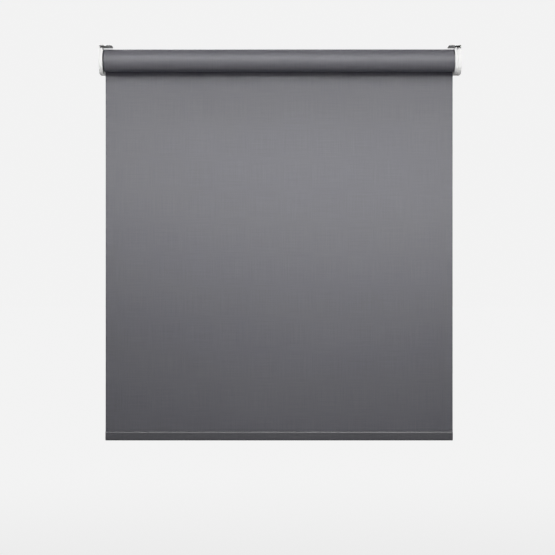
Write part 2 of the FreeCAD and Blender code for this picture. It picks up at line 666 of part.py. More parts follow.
def gearbox():
    """Planetary gearbox, a sealed unit whose end plate closes the casing."""
    body = disc(HOUSING_END, 4.0, HOUSING_BORE - 0.1)
    plate = disc(HOUSING_END - 3.0, HOUSING_END, HOUSING_R)
    nose = disc(HOUSING_END - 8.0, HOUSING_END - 2.0, NOSE_R)
    nose = round_rim(nose, HOUSING_END - 8.0, NOSE_R, 0.8)
    grooves = [ring(x, x + 1.0, HOUSING_R, HOUSING_BORE - 0.8) for x in (-36.0, -20.0, -4.0)]
    box = body.fuse([plate, nose]).removeSplitter()
    return box.cut(grooves + [disc(HOUSING_END - 9.0, SHAFT_IN - 0.3, SHAFT_R + RUNNING)])


SHAFT_IN = -30.0
SHAFT_OUT = -88.0
WHEEL_X = -64.0
WHEEL_END = -84.0
CLIP_GROOVE = WHEEL_END - 0.2
SHAFT_FLAT = 5.0


def flats(half, x0, x1):
    """What is cut from a shaft's two sides to leave a double D."""
    return [block(x0, x1, -2 * SHAFT_R, 2 * SHAFT_R, AXIS_Z + half, AXIS_Z + 2 * SHAFT_R),
            block(x0, x1, -2 * SHAFT_R, 2 * SHAFT_R, AXIS_Z - 2 * SHAFT_R, AXIS_Z - half)]


def output_shaft():
    shaft = disc(SHAFT_OUT, SHAFT_IN - 0.8, SHAFT_R)
    shaft = shaft.cut(flats(SHAFT_FLAT, SHAFT_OUT - 1, WHEEL_X + 1))
    return shaft.cut(ring(CLIP_GROOVE - 1.3, CLIP_GROOVE, SHAFT_R + 1, 4.4))


def shaft_clip():
    """Retaining clip pushed on from below."""
    clip = ring(CLIP_GROOVE - 1.2, CLIP_GROOVE - 0.1, 8.5, 4.45)
    mouth = block(CLIP_GROOVE - 2, CLIP_GROOVE + 1, -3.6, 3.6, AXIS_Z - 10, AXIS_Z)
    return clip.cut(mouth)


def drive_wheel():
    """Spoked wheel on the output shaft that turns the tube by its keys."""
    rim = ring(WHEEL_END, WHEEL_X, PLUG_R, PLUG_R - RIM_WALL)
    hub = disc(WHEEL_END, WHEEL_X, 9.5)
    web = disc(WHEEL_END + 8, WHEEL_END + 11, PLUG_R - 1)
    spokes = [turned(block(WHEEL_END, WHEEL_X, -1, 1, AXIS_Z + 8, AXIS_Z + PLUG_R - 1), 30 + 60 * i)
              for i in range(6)]
    wheel = rim.fuse([hub, web] + spokes).removeSplitter()
    bore = disc(WHEEL_END - 1, WHEEL_X + 1, SHAFT_R + 0.05)
    for side in flats(SHAFT_FLAT + 0.05, WHEEL_END - 2, WHEEL_X + 2):
        bore = bore.cut(side)
    return wheel.cut([bore, keyways(WHEEL_END - 1, WHEEL_X + 1)])


def crown_ring():
    """Ring that turns with the tube round the motor's casing and counts its turns."""
    crown = ring(TUBE_RIGHT - 19.0, TUBE_RIGHT, PLUG_R, HOUSING_R + RUNNING)
    crown = crown.cut(keyways(TUBE_RIGHT - 20.0, TUBE_RIGHT))
    flange = ring(TUBE_RIGHT, TUBE_RIGHT + 0.4, TUBE_R - 0.2, HOUSING_R + RUNNING)
    return crown.fuse(flange).removeSplitter()


# ---- write one file per piece ---------------------------------------------------------
def left_bracket_holes():
    """Holes for the idle bush; the bracket is made right-handed and mirrored afterwards."""
    boss = disc(PLATE_X - 1, HALF + 1, BUSH_BOSS_R + 0.05)
    rivets = [disc(PLATE_X - 1, HALF + 1, RIVET_R + 0.05, side * RIVET_Y) for side in (-1, 1)]
    return [boss] + rivets


def right_bracket_holes():
    return [disc(PLATE_X - 1, HALF + 1, SCREW_R + 0.02, side * SCREW_Y) for side in (-1, 1)]


NODES = {
    "bracket_left": lambda: mirrored(bracket(left_bracket_holes())),
    "bracket_right": lambda: bracket(right_bracket_holes()),
    "bracket_cover_left": lambda: mirrored(bracket_cover(6.5)),
    "bracket_cover_right": lambda: bracket_cover(10.0),
    "idle_bush": idle_bush,
    "bush_rivets": bush_rivets,
    "idler_plug": idler_plug,
    "idler_pin": idler_pin,
    "idler_spring": idler_spring,
    "spring_seat": spring_seat,
    "roller_tube": roller_tube,
    "fabric_tape": fabric_tape,
    "fabric_roll": fabric_roll,
    "fabric_hanging": fabric_hanging,
    "hem_pocket": hem_pocket,
    "bottom_bar": bottom_bar,
    "hem_cap_left": lambda: hem_cap(FABRIC_LEFT, 1),
    "hem_cap_right": lambda: hem_cap(FABRIC_RIGHT, -1),
    "motor_adapter": motor_adapter,
    "adapter_screws": adapter_screws,
    "motor_clip": motor_clip,
    "motor_head": motor_head,
    "head_cover": head_cover,
    "head_screws": head_screws,
    "button_board": button_board,
    "charge_port": charge_port,
    "charge_port_cover": charge_port_cover,
    "program_button": program_button,
    "status_light": status_light,
    "motor_housing": motor_housing,
    "housing_screws": housing_screws,
    "circuit_board": circuit_board,
    "battery_cells": battery_cells,
    "battery_spacers": battery_spacers,
    "dc_motor": dc_motor,
    "motor_dampers": motor_dampers,
    "motor_brake": motor_brake,
    "gearbox": gearbox,
    "output_shaft": output_shaft,
    "shaft_clip": shaft_clip,
    "drive_wheel": drive_wheel,
    "crown_ring": crown_ring,
}

os.makedirs("parts", exist_ok=True)
for node, make in NODES.items():
    shape = make()
    shape.exportStep("parts/" + node + ".step")
    print(node, len(shape.Solids), round(shape.Volume, 1), shape.isValid())
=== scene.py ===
import json
import math

import bpy
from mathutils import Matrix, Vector, noise


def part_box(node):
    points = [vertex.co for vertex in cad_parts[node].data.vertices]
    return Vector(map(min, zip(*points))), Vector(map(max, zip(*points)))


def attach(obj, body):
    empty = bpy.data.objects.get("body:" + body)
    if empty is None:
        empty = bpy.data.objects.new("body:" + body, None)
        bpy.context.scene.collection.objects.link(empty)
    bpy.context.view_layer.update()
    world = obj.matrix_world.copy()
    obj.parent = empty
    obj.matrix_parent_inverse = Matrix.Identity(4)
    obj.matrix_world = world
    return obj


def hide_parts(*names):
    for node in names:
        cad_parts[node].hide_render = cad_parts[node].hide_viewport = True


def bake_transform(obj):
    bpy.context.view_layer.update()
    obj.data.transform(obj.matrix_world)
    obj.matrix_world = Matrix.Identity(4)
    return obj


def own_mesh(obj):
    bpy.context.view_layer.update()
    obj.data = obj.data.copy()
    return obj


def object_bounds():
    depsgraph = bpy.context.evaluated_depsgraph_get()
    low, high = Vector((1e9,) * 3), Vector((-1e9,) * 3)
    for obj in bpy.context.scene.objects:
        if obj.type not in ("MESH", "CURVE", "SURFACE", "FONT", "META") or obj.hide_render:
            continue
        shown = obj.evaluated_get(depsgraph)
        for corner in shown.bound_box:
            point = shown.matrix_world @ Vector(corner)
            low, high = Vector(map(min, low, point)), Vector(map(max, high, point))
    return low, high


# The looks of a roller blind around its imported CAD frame. Metres; +X right seen from the
# room, +Y towards the window, +Z up, the same axes as the frame.

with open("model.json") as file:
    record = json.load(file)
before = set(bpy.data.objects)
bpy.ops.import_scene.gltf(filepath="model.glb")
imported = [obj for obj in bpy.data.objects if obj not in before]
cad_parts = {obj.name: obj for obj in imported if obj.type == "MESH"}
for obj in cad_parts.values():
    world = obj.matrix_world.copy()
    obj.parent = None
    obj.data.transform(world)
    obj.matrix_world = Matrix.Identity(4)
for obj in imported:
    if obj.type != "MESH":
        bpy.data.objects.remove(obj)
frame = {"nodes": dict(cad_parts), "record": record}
CAD_LOW, CAD_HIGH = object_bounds()

# ---- places and sizes, read from the frame --------------------------------------------
TUBE_LOW, TUBE_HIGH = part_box("roller_tube")
ROLL_LOW, ROLL_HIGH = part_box("fabric_roll")
SHEET_LOW, SHEET_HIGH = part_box("fabric_hanging")
HEM_LOW, HEM_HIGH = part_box("hem_pocket")
SPRING_LOW, SPRING_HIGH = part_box("idler_spring")

AXIS_Z = (TUBE_LOW.z + TUBE_HIGH.z) / 2
TUBE_R = (TUBE_HIGH.z - TUBE_LOW.z) / 2
ROLL_R = (ROLL_HIGH.z - ROLL_LOW.z) / 2
CLOTH_T = SHEET_HIGH.y - SHEET_LOW.y
SHEET_Y = (SHEET_LOW.y + SHEET_HIGH.y) / 2
CLOTH_X0 = ROLL_LOW.x
CLOTH_X1 = ROLL_HIGH.x
CLOTH_WIDTH = CLOTH_X1 - CLOTH_X0
HEM_R = (HEM_HIGH.y - HEM_LOW.y) / 2
HEM_MID = (HEM_LOW.z + HEM_HIGH.z) / 2
HEM_STRAIGHT = HEM_HIGH.z - HEM_LOW.z - 2 * HEM_R
SHEET_DROP = AXIS_Z - HEM_HIGH.z
MM = 0.001


# ---- camera ----------------------------------------------------------------------------
LENS_MM = 119.2
SENSOR_MM = 36.0
CAMERA_X = -0.0059
CAMERA_DISTANCE = 4.097       # in front of the sheet
CAMERA_DROP = 0.4805          # below the tube's axis


def make_camera():
    """Level, square to the sheet, a little left of centre, half way down the sheet."""
    data = bpy.data.cameras.new("camera")
    data.sensor_width = SENSOR_MM
    data.lens = LENS_MM
    data.clip_end = 100.0
    camera = bpy.data.objects.new("camera", data)
    camera.location = (CAMERA_X, SHEET_Y - CAMERA_DISTANCE, AXIS_Z - CAMERA_DROP)
    camera.rotation_euler = (math.radians(90), 0, 0)
    bpy.context.collection.objects.link(camera)
    bpy.context.scene.camera = camera
    bpy.context.scene.view_settings.view_transform = "Khronos PBR Neutral"


make_camera()


# ---- light and stage -------------------------------------------------------------------
def seen_or_lit(tree, seen, lit):
    """The strength that the camera sees, and the one that lights the object; each a number or an output."""
    path = tree.nodes.new("ShaderNodeLightPath")
    mix = tree.nodes.new("ShaderNodeMix")
    tree.links.new(path.outputs["Is Camera Ray"], mix.inputs["Factor"])
    for socket, value in (("A", lit), ("B", seen)):
        if isinstance(value, float):
            mix.inputs[socket].default_value = value
        else:
            tree.links.new(value, mix.inputs[socket])
    return mix.outputs["Result"]


def spread_value(tree, value, from_low, from_high, to_low, to_high):
    """A value spread smoothly between two ends."""
    made = tree.nodes.new("ShaderNodeMapRange")
    made.interpolation_type = "SMOOTHSTEP"
    made.inputs["From Min"].default_value = from_low
    made.inputs["From Max"].default_value = from_high
    made.inputs["To Min"].default_value = to_low
    made.inputs["To Max"].default_value = to_high
    tree.links.new(value, made.inputs["Value"])
    return made.outputs["Result"]


def make_world(seen, horizon, zenith):
    """Pale surround with no wall or window in it, whose light is dim overhead."""
    world = bpy.data.worlds.new("surround")
    bpy.context.scene.world = world
    world.use_nodes = True
    tree = world.node_tree
    background = tree.nodes["Background"]
    background.inputs["Color"].default_value = (1.0, 1.0, 1.0, 1)
    coords = tree.nodes.new("ShaderNodeTexCoord")
    split = tree.nodes.new("ShaderNodeSeparateXYZ")
    tree.links.new(coords.outputs["Generated"], split.inputs[0])
    light = spread_value(tree, split.outputs["Z"], 0.1, 0.8, horizon, zenith)
    tree.links.new(seen_or_lit(tree, seen, light), background.inputs["Strength"])


def area_light(name, place, target, wide, high, watts, spread_deg):
    """A soft rectangular light with a grid, long side along X, which the camera doesn't see."""
    data = bpy.data.lights.new(name, "AREA")
    data.shape = "RECTANGLE"
    data.size = wide
    data.size_y = high
    data.energy = watts
    data.spread = math.radians(spread_deg)
    light = bpy.data.objects.new(name, data)
    light.location = place
    aim = Vector(target) - Vector(place)
    light.rotation_euler = aim.to_track_quat("-Z", "Y").to_euler()
    light.visible_camera = False
    bpy.context.collection.objects.link(light)


def make_floor(drop, reach, seen_near, seen_far, lit):
    """Plain pale floor well below the hem, which meets the surround without an edge."""
    mesh = bpy.data.meshes.new("floor")
    corners = [(-reach, -reach, 0), (reach, -reach, 0), (reach, reach, 0), (-reach, reach, 0)]
    mesh.from_pydata(corners, [], [(0, 1, 2, 3)])
    floor = bpy.data.objects.new("floor", mesh)
    floor.location = (0, 0, CAD_LOW.z - drop)
    bpy.context.collection.objects.link(floor)
    material = bpy.data.materials.new("floor")
    material.use_nodes = True
    tree = material.node_tree
    shader = tree.nodes["Principled BSDF"]
    shader.inputs["Base Color"].default_value = (0.12, 0.12, 0.12, 1)
    shader.inputs["Roughness"].default_value = 1.0
    shader.inputs["Specular IOR Level"].default_value = 0.0
    shader.inputs["Emission Color"].default_value = (1, 1, 1, 1)
    coords = tree.nodes.new("ShaderNodeTexCoord")
    away = tree.nodes.new("ShaderNodeVectorMath")
    away.operation = "LENGTH"
    tree.links.new(coords.outputs["Object"], away.inputs[0])
    seen = spread_value(tree, away.outputs["Value"], 1.0, 9.0, seen_near, seen_far)
    tree.links.new(seen_or_lit(tree, seen, lit), shader.inputs["Emission Strength"])
    mesh.materials.append(material)


make_world(seen=1.10, horizon=0.72, zenith=0.22)
make_floor(drop=1.0, reach=80.0, seen_near=0.72, seen_far=1.07, lit=0.48)
area_light("key", (0, -0.82, 0.55), (0, 0.02, -0.35), wide=2.0, high=0.30, watts=1.95, spread_deg=90)
area_light("front_soft", (0, -1.06, 0.54), (0, 0, -0.02), wide=2.0, high=0.15, watts=3.70, spread_deg=180)
area_light("low_fill", (0, -0.75, -0.15), (0, 0.02, -0.50), wide=1.2, high=0.15, watts=1.60, spread_deg=80)
area_light("right_fill", (0.70, -0.75, -0.25), (0.28, 0.02, -0.60), wide=1.2, high=0.15, watts=0.75,
           spread_deg=80)
area_light("sheet_light", (0, -0.75, 0.15), (0, 0.02, -0.20), wide=1.5, high=0.15, watts=0.62, spread_deg=40)
area_light("roll_light", (0, -0.78, 0.17), (0, 0, -0.025), wide=1.6, high=0.06, watts=0.17, spread_deg=12)
area_light("back_light", (-0.9, 2.0, 0.7), (0, 0, -0.4), wide=1.6, high=1.2, watts=18.0, spread_deg=120)
area_light("left_light", (-2.2, -0.6, 0.5), (0, 0, -0.3), wide=1.2, high=1.2, watts=7.0, spread_deg=120)
area_light("right_light", (2.2, -0.3, 0.5), (0, 0, -0.3), wide=1.2, high=1.2, watts=7.0, spread_deg=120)


# ---- material building -----------------------------------------------------------------
class Shade:
    """A material's node tree with short calls for the nodes that the materials share."""

    def __init__(self, name, metallic=0.0, specular=0.5):
        self.material = bpy.data.materials.new(name)
        self.material.use_nodes = True
        self.tree = self.material.node_tree
        self.shader = self.tree.nodes["Principled BSDF"]
        self.shader.inputs["Metallic"].default_value = metallic
        self.shader.inputs["Specular IOR Level"].default_value = specular
        self.coords = self.tree.nodes.new("ShaderNodeTexCoord")
        self.bump_end = None

    def node(self, kind, **settings):
        made = self.tree.nodes.new(kind)
        for key, value in settings.items():
            setattr(made, key, value)
        return made

    def link(self, out, into):
        self.tree.links.new(out, into)

    def place(self, scale, source="Object", offset=(0, 0, 0)):
        """Coordinates stretched by a scale on each axis."""
        mapping = self.node("ShaderNodeMapping")
        mapping.inputs["Scale"].default_value = scale
        mapping.inputs["Location"].default_value = offset
        self.link(self.coords.outputs[source], mapping.inputs["Vector"])
        return mapping.outputs[0]

    def noise(self, where, scale, detail=2.0, rough=0.5):
        made = self.node("ShaderNodeTexNoise")
        made.inputs["Scale"].default_value = scale
        made.inputs["Detail"].default_value = detail
        made.inputs["Roughness"].default_value = rough
        self.link(where, made.inputs["Vector"])
        return made.outputs["Fac"]

    def cells(self, where, scale):
        made = self.node("ShaderNodeTexVoronoi")
        made.inputs["Scale"].default_value = scale
        self.link(where, made.inputs["Vector"])
        return made

    def math(self, operation, a, b=None):
        made = self.node("ShaderNodeMath", operation=operation)
        for socket, value in ((0, a), (1, b)):
            if isinstance(value, (int, float)):
                made.inputs[socket].default_value = value
            elif value is not None:
                self.link(value, made.inputs[socket])
        return made.outputs[0]

    def span(self, value, low, high, from_low=0.25, from_high=0.75):
        """A value spread between two ends."""
        made = self.node("ShaderNodeMapRange")
        made.inputs["From Min"].default_value = from_low
        made.inputs["From Max"].default_value = from_high
        made.inputs["To Min"].default_value = low
        made.inputs["To Max"].default_value = high
        self.link(value, made.inputs["Value"])
        return made.outputs[0]

    def mix(self, factor, a, b):
        """Two colours mixed; either may be a colour or an output."""
        made = self.node("ShaderNodeMix", data_type="RGBA")
        self.link(factor, made.inputs["Factor"])
        for socket, value in ((6, a), (7, b)):
            if isinstance(value, tuple):
                made.inputs[socket].default_value = (*value, 1)
            else:
                self.link(value, made.inputs[socket])
        return made.outputs[2]

    def bump(self, height, distance, strength):
        """A layer of relief on top of the ones before it."""
        made = self.node("ShaderNodeBump")
        made.inputs["Strength"].default_value = strength
        made.inputs["Distance"].default_value = distance
        self.link(height, made.inputs["Height"])
        if self.bump_end is not None:
            self.link(self.bump_end, made.inputs["Normal"])
        self.bump_end = made.outputs[0]

    def done(self, colour, roughness):
        """Joins everything to the shader and returns the material."""
        self.link(colour, self.shader.inputs["Base Color"])
        self.link(roughness, self.shader.inputs["Roughness"])
        if self.bump_end is not None:
            self.link(self.bump_end, self.shader.inputs["Normal"])
        return self.material


def tinted(colour, factor):
    """A colour made lighter or darker."""
    return tuple(min(1.0, c * factor) for c in colour)


# ---- materials --------------------------------------------------------------------------
THREAD = 0.42 * MM            # pitch of the cloth's threads


def cloth_material(name, colour, roughness, specular):
    """Fine plain weave, matt coating, faint thick and thin threads both ways."""
    s = Shade(name, specular=specular)
    turns = math.pi / THREAD
    split = s.node("ShaderNodeSeparateXYZ")
    s.link(s.place((turns, turns, 1), "UV"), split.inputs[0])
    weave = s.math("MULTIPLY", s.math("SINE", split.outputs["X"]), s.math("SINE", split.outputs["Y"]))
    s.bump(weave, 0.03 * MM, 0.6)
    slub_warp = s.noise(s.place((900, 14, 1), "UV"), 1.0, 2.0, 0.6)
    slub_weft = s.noise(s.place((14, 900, 1), "UV", (3, 7, 0)), 1.0, 2.0, 0.6)
    slubs = s.math("ADD", slub_warp, slub_weft)
    s.bump(slubs, 0.03 * MM, 0.5)
    cloud = s.noise(s.place((9, 9, 1), "UV"), 1.0, 3.0, 0.55)
    base = s.mix(s.span(slubs, 0.0, 1.0, 0.8, 1.2), tinted(colour, 0.93), tinted(colour, 1.07))
    base = s.mix(s.span(cloud, 0.0, 0.12), base, tinted(colour, 1.3))
    s.shader.inputs["Sheen Weight"].default_value = 0.12
    s.shader.inputs["Sheen Roughness"].default_value = 0.45
    s.shader.inputs["Sheen Tint"].default_value = (0.8, 0.8, 0.85, 1)
    return s.done(base, s.span(cloud, roughness - 0.04, roughness + 0.04))


def moulded_plastic(name, colour, roughness, grain=0.05, specular=0.5):
    """Injection-moulded plastic: fine spark-eroded grain and a slightly uneven gloss."""
    s = Shade(name, specular=specular)
    where = s.place((1, 1, 1))
    s.bump(s.noise(where, 1600, 3.0, 0.6), grain * MM, 0.35)
    s.bump(s.noise(where, 45, 2.0), 0.25 * MM, 0.08)
    flow = s.noise(where, 60, 3.0, 0.6)
    base = s.mix(s.span(flow, 0.0, 1.0), tinted(colour, 0.965), tinted(colour, 1.02))
    return s.done(base, s.span(flow, roughness - 0.05, roughness + 0.06))


def painted_steel(name, colour):
    """Powder coat: orange-peel skin, a little thinner and glossier in places."""
    s = Shade(name)
    where = s.place((1, 1, 1))
    s.bump(s.noise(where, 900, 2.0, 0.5), 0.08 * MM, 0.3)
    patches = s.noise(where, 38, 4.0, 0.6)
    base = s.mix(s.span(patches, 0.0, 1.0), tinted(colour, 0.95), tinted(colour, 1.02))
    return s.done(base, s.span(patches, 0.32, 0.46))


def drawn_metal(name, colour, roughness):
    """Drawn or extruded metal: die lines along X and a dull oxide bloom."""
    s = Shade(name, metallic=1.0)
    lines = s.noise(s.place((4, 2600, 2600)), 1.0, 3.0, 0.6)
    bloom = s.noise(s.place((1, 1, 1)), 55, 4.0, 0.6)
    s.bump(lines, 0.02 * MM, 0.5)
    base = s.mix(s.span(bloom, 0.0, 1.0), tinted(colour, 0.86), colour)
    dull = s.span(bloom, roughness - 0.05, roughness + 0.1)
    rough = s.math("ADD", s.span(lines, -0.06, 0.06), dull)
    s.shader.inputs["Anisotropic"].default_value = 0.35
    return s.done(base, rough)


def plated_steel(name, colour, roughness):
    """Zinc plate: small crystals that differ in tone and gloss."""
    s = Shade(name, metallic=1.0)
    where = s.place((1, 1, 1))
    crystals = s.cells(where, 900)
    grey = s.node("ShaderNodeSeparateColor")
    s.link(crystals.outputs["Color"], grey.inputs[0])
    tone = grey.outputs[0]
    scuffs = s.noise(s.place((300, 2400, 300)), 1.0, 3.0, 0.7)
    s.bump(scuffs, 0.015 * MM, 0.5)
    base = s.mix(tone, tinted(colour, 0.88), tinted(colour, 1.08))
    wear = s.span(scuffs, roughness, roughness + 0.12)
    return s.done(base, s.math("ADD", s.span(tone, -0.04, 0.06, 0, 1), wear))


def soft_rubber(name, colour):
    """Matt rubber with a fine skin and a dusty bloom."""
    s = Shade(name, specular=0.3)
    where = s.place((1, 1, 1))
    s.bump(s.noise(where, 2200, 2.0, 0.5), 0.05 * MM, 0.4)
    dust = s.noise(where, 150, 4.0, 0.65)
    base = s.mix(s.span(dust, 0.0, 1.0), tinted(colour, 0.92), tinted(colour, 1.06))
    return s.done(base, s.span(dust, 0.72, 0.88))


def printed_board(name, colour, normal_axis, middle, half_thickness):
    """Solder mask with copper runs; what stands off the board is dark or silvery."""
    s = Shade(name)
    where = s.place((1, 1, 1))
    bricks = s.node("ShaderNodeTexBrick")
    bricks.inputs["Scale"].default_value = 190.0
    bricks.inputs["Mortar Size"].default_value = 0.06
    s.link(where, bricks.inputs["Vector"])
    runs = s.mix(bricks.outputs["Fac"], tinted(colour, 0.8), tinted(colour, 1.8))
    split = s.node("ShaderNodeSeparateXYZ")
    s.link(where, split.inputs[0])
    away = s.math("ABSOLUTE", s.math("SUBTRACT", split.outputs[normal_axis], middle))
    off_board = s.math("GREATER_THAN", away, half_thickness * 1.15)
    components = s.mix(s.noise(where, 120, 1.0), (0.02, 0.02, 0.022), (0.30, 0.31, 0.33))
    s.bump(bricks.outputs["Fac"], 0.03 * MM, 0.5)
    return s.done(s.mix(off_board, runs, components), s.span(s.noise(where, 300), 0.25, 0.45))


def cell_wrap(name, colour):
    """Shrink sleeve on the cells: glossy film with fine wrinkles."""
    s = Shade(name)
    s.bump(s.noise(s.place((700, 60, 60)), 1.0, 3.0, 0.6), 0.08 * MM, 0.4)
    film = s.noise(s.place((1, 1, 1)), 90, 3.0)
    base = s.mix(s.span(film, 0.0, 1.0), tinted(colour, 0.88), tinted(colour, 1.15))
    return s.done(base, s.span(film, 0.18, 0.34))


def clear_plastic(name, colour):
    """Milky light guide."""
    s = Shade(name)
    haze = s.noise(s.place((1, 1, 1)), 900, 3.0)
    s.shader.inputs["Transmission Weight"].default_value = 0.55
    base = s.mix(s.span(haze, 0.0, 1.0), tinted(colour, 0.92), tinted(colour, 1.05))
    return s.done(base, s.span(haze, 0.1, 0.3))


def paper_tape(name, colour):
    """Adhesive tape with fine threads across it."""
    s = Shade(name)
    threads = s.noise(s.place((1200, 60, 60)), 1.0, 2.0)
    s.bump(threads, 0.03 * MM, 0.5)
    base = s.mix(s.span(threads, 0.0, 1.0), tinted(colour, 0.91), tinted(colour, 1.08))
    return s.done(base, s.span(threads, 0.5, 0.7))


COLOURS = {row["slot"]: tuple(row["base_color"]) for row in frame["record"]["materials"]}
BOARD_HALF = 0.8 * MM         # half the thickness of the main board
SMALL_BOARD_HALF = 0.4 * MM
SMALL_BOARD_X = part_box("button_board")[0].x + 0.9 * MM
CLOTH = cloth_material("blackout_cloth", COLOURS["cloth"], 0.52, 0.45)
# Hem cloth: the sheet's cloth darkened to 0.62 as painted shade for the pocket's rounded face; its lower
# roughness and higher specular are real gloss
PRESSED_CLOTH_PAINTED_SHADE = cloth_material("pressed_cloth_painted_shade", tinted(COLOURS["cloth"], 0.62), 0.32, 1.0)
SLOT_MATERIALS = {
    "bracket_paint": painted_steel("bracket_paint", COLOURS["bracket_paint"]),
    "white_plastic": moulded_plastic("white_plastic", COLOURS["white_plastic"], 0.36),
    "grey_plastic": moulded_plastic("grey_plastic", COLOURS["grey_plastic"], 0.45),
    "black_plastic": moulded_plastic("black_plastic", COLOURS["black_plastic"], 0.42),
    "acetal": moulded_plastic("acetal", COLOURS["acetal"], 0.30, 0.03),
    "cloth": CLOTH,
    "tube_aluminium": drawn_metal("tube_aluminium", COLOURS["tube_aluminium"], 0.32),
    "bar_aluminium": drawn_metal("bar_aluminium", COLOURS["bar_aluminium"], 0.38),
    "bright_steel": plated_steel("bright_steel", COLOURS["bright_steel"], 0.22),
    "motor_steel": plated_steel("motor_steel", COLOURS["motor_steel"], 0.34),
    "rubber_white": soft_rubber("rubber_white", COLOURS["rubber_white"]),
    "rubber_black": soft_rubber("rubber_black", COLOURS["rubber_black"]),
    "cell_wrap": cell_wrap("cell_wrap", COLOURS["cell_wrap"]),
    "clear_plastic": clear_plastic("clear_plastic", COLOURS["clear_plastic"]),
    "tape": paper_tape("tape", COLOURS["tape"]),
}
NODE_MATERIALS = {
    "circuit_board": printed_board("main_board", COLOURS["board_green"], "Z", AXIS_Z, BOARD_HALF),
    "button_board": printed_board("small_board", COLOURS["board_green"], "X",
                                  SMALL_BOARD_X, SMALL_BOARD_HALF),
}


def finish_cad_nodes():
    """Every CAD node gets its own material, or else that of its slot."""
    slots = {row["node"]: row["material_slot"] for row in frame["record"]["subparts"]}
    for name, node in frame["nodes"].items():
        material = NODE_MATERIALS.get(name) or SLOT_MATERIALS[slots[name]]
        node.data.materials.clear()
        node.data.materials.append(material)


finish_cad_nodes()


# ---- pieces of cloth ---------------------------------------------------------------------
COLUMNS = 61                  # points across the wound cloth and the hem
TURN_STEPS = 120              # points round one turn of the roll
EDGE_STRIP = 0.012            # width of the finer mesh along each edge of the sheet


def even(low, high, count):
    """Evenly spaced values, both ends included."""
    return [low + (high - low) * i / (count - 1) for i in range(count)]


def new_piece(name, verts, faces, material):
    """A mesh object with one material."""
    mesh = bpy.data.meshes.new(name)
    mesh.from_pydata(verts, [], faces)
    mesh.materials.append(material)
    piece = bpy.data.objects.new(name, mesh)
    bpy.context.collection.objects.link(piece)
    return piece


def settle(piece, sharp_deg=40):
    """Applies a piece's modifiers and shades it smooth up to an angle."""
    bpy.context.view_layer.update()
    graph = bpy.context.evaluated_depsgraph_get()
    mesh = bpy.data.meshes.new_from_object(piece.evaluated_get(graph))
    piece.modifiers.clear()
    piece.data = mesh
    mesh.polygons.foreach_set("use_smooth", [True] * len(mesh.polygons))
    mesh.set_sharp_from_angle(angle=math.radians(sharp_deg))


def cloth_piece(name, across, along, place, v_of, thickness, material):
    """Cloth through place(x, t) with its true thickness, and a UV map in metres of cloth."""
    verts = [place(x, t) for t in along for x in across]
    wide = len(across)
    faces = []
    for row in range(len(along) - 1):
        for col in range(wide - 1):
            a = row * wide + col
            faces.append((a, a + 1, a + wide + 1, a + wide))
    piece = new_piece(name, verts, faces, material)
    layer = piece.data.uv_layers.new(name="cloth")
    for loop in piece.data.loops:
        row, col = divmod(loop.vertex_index, wide)
        layer.data[loop.index].uv = (across[col], v_of(along[row]))
    solid = piece.modifiers.new("thickness", "SOLIDIFY")
    solid.thickness = thickness
    solid.offset = 0
    settle(piece)
    return piece


LAYER = 0.92                  # a layer's thickness as a share of the winding's pitch
LAST_TURN = 2 * math.pi * (ROLL_R - TUBE_R - CLOTH_T) / CLOTH_T  # where it meets the tube


def spiral_radius(turn):
    """Middle of the cloth at an angle wound back from where the sheet leaves the roll."""
    return ROLL_R - CLOTH_T / 2 - CLOTH_T * turn / (2 * math.pi)


def wound_length(turn):
    """Length of cloth along the spiral up to an angle."""
    return turn * (ROLL_R - CLOTH_T / 2) - CLOTH_T * turn * turn / (4 * math.pi)


def make_wound_cloth():
    """The cloth on the tube, a true spiral that starts where the hanging sheet leaves it."""
    steps = int(LAST_TURN / (2 * math.pi) * TURN_STEPS)

    def place(x, turn):
        wander = 0.25 * MM * math.sin(1.3 * turn)
        ripple = 0.05 * MM * noise.noise(Vector((x * 9, turn * 1.2, 2.0)))
        r = spiral_radius(turn) + ripple
        return (x + wander, r * math.cos(turn), AXIS_Z + r * math.sin(turn))

    piece = cloth_piece("wound_cloth", even(CLOTH_X0, CLOTH_X1, COLUMNS), even(0.0, LAST_TURN, steps),
                        place, lambda turn: -wound_length(turn), CLOTH_T * LAYER, CLOTH)
    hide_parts("fabric_roll")
    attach(piece, "roller")


CUP_REACH = 0.022             # how far in from an edge the sheet cups


def sheet_ripple(x, drop):
    """How far the hanging sheet stands off its plane, on the side away from the roll.

    Slack waves run down it and across it, and the two edges cup a little.
    """
    share = drop / SHEET_DROP
    held = math.sin(math.pi * min(1.0, max(0.0, share))) ** 0.5
    across = (x - CLOTH_X0) / CLOTH_WIDTH
    waves = 0.8 + 0.8 * noise.noise(Vector((across * 3.1, share * 0.8, 0.3)))
    bands = 0.3 + 0.3 * noise.noise(Vector((across * 1.3, share * 7.0, 5.0)))
    edge = min(x - CLOTH_X0, CLOTH_X1 - x)
    cup = math.exp(-edge / CUP_REACH)
    return (waves + bands + cup) * MM * held


def make_hanging_cloth():
    """The sheet from its tangent point on the roll to the hem."""
    def place(x, drop):
        return (x, SHEET_Y + sheet_ripple(x, drop), AXIS_Z - drop)

    across = even(CLOTH_X0, CLOTH_X0 + EDGE_STRIP, 5)
    across += even(CLOTH_X0 + 2 * EDGE_STRIP, CLOTH_X1 - 2 * EDGE_STRIP, 71)
    across += even(CLOTH_X1 - EDGE_STRIP, CLOTH_X1, 5)
    piece = cloth_piece("hanging_cloth", across, even(0.0, SHEET_DROP, 131),
                        place, lambda drop: drop, CLOTH_T, CLOTH)
    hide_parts("fabric_hanging")
    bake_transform(piece)


POCKET_ARC = 12               # steps round each quarter of the pocket's ends
POCKET_SIDE = 6               # steps down each side of the pocket
POCKET_BULGE = 0.06 * MM
LIP_Y = CLOTH_T * 1.02        # the lip lies against the back of the sheet
LIP_FOOT = 0.1 * MM
LIP_HEIGHT = 6.0 * MM


